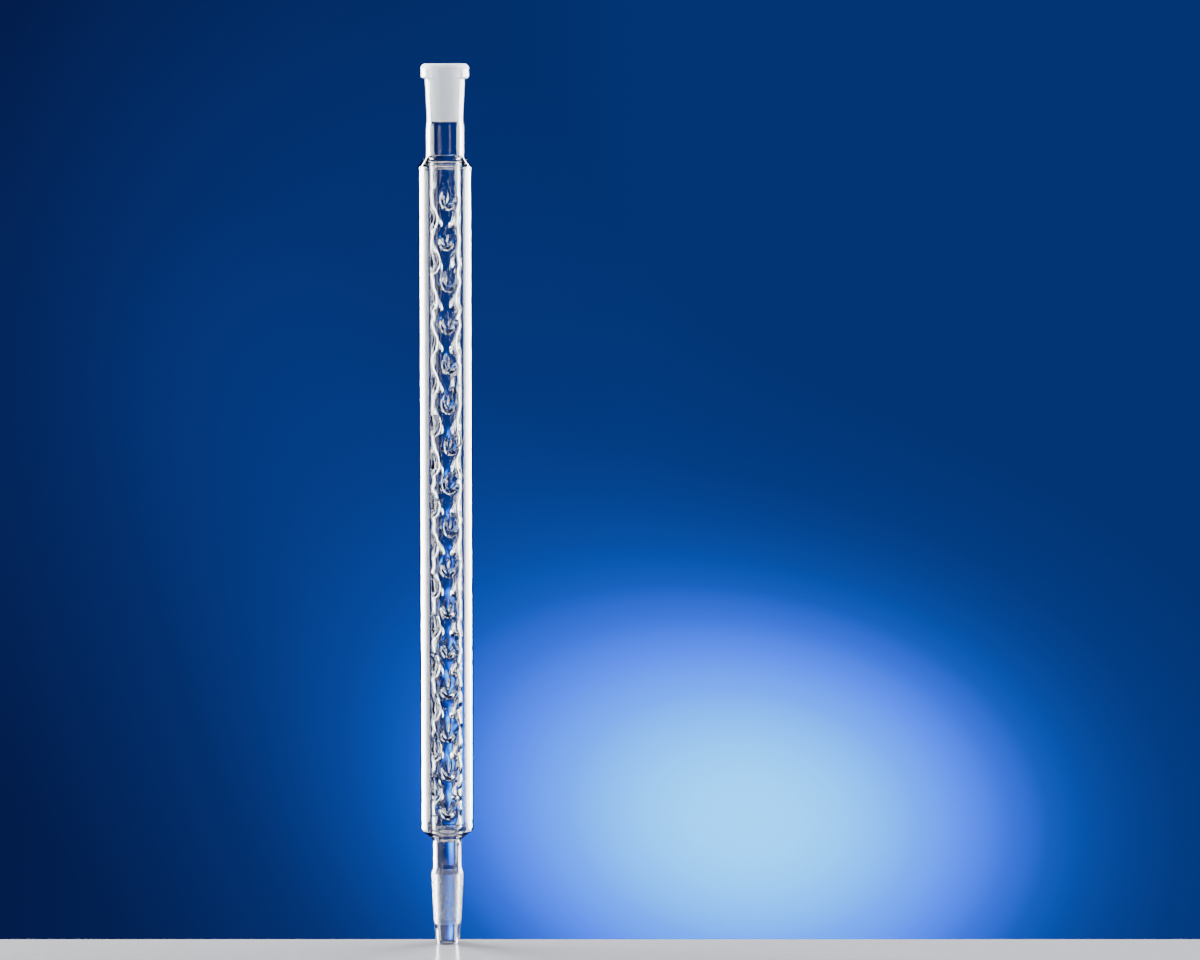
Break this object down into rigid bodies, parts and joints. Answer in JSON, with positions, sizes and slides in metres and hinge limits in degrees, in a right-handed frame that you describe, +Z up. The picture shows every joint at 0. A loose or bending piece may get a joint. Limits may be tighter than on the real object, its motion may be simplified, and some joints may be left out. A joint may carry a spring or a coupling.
{
  "type": "jacketed vigreux column",
  "caption": "Straight glass fractionating column: thorned inner tube sealed in a closed insulating jacket, ground socket on top, ground cone with a drip tip below.",
  "frame": {"origin": "on the column's axis, in the plane where the lower ground cone is widest", "axes": "+Z up the column's axis, from the drip tip to the socket; +Y towards the back, one of the two directions in which the thorns are pushed in"},
  "size_m": [0.0246, 0.0246, 0.3938],
  "materials": {
    "clear_glass": "clear, fire-polished glass, assumed to be borosilicate",
    "ground_glass": "the same glass with a fine matt ground joint surface"
  },
  "bodies": {
    "root": {"ground_socket": "ground_glass", "upper_neck": "clear_glass", "upper_ring_seal": "clear_glass", "jacket_tube": "clear_glass", "vigreux_tube": "clear_glass", "lower_ring_seal": "clear_glass", "lower_neck": "clear_glass", "ground_cone": "ground_glass", "drip_tip": "clear_glass"}
  },
  "joints": []
}
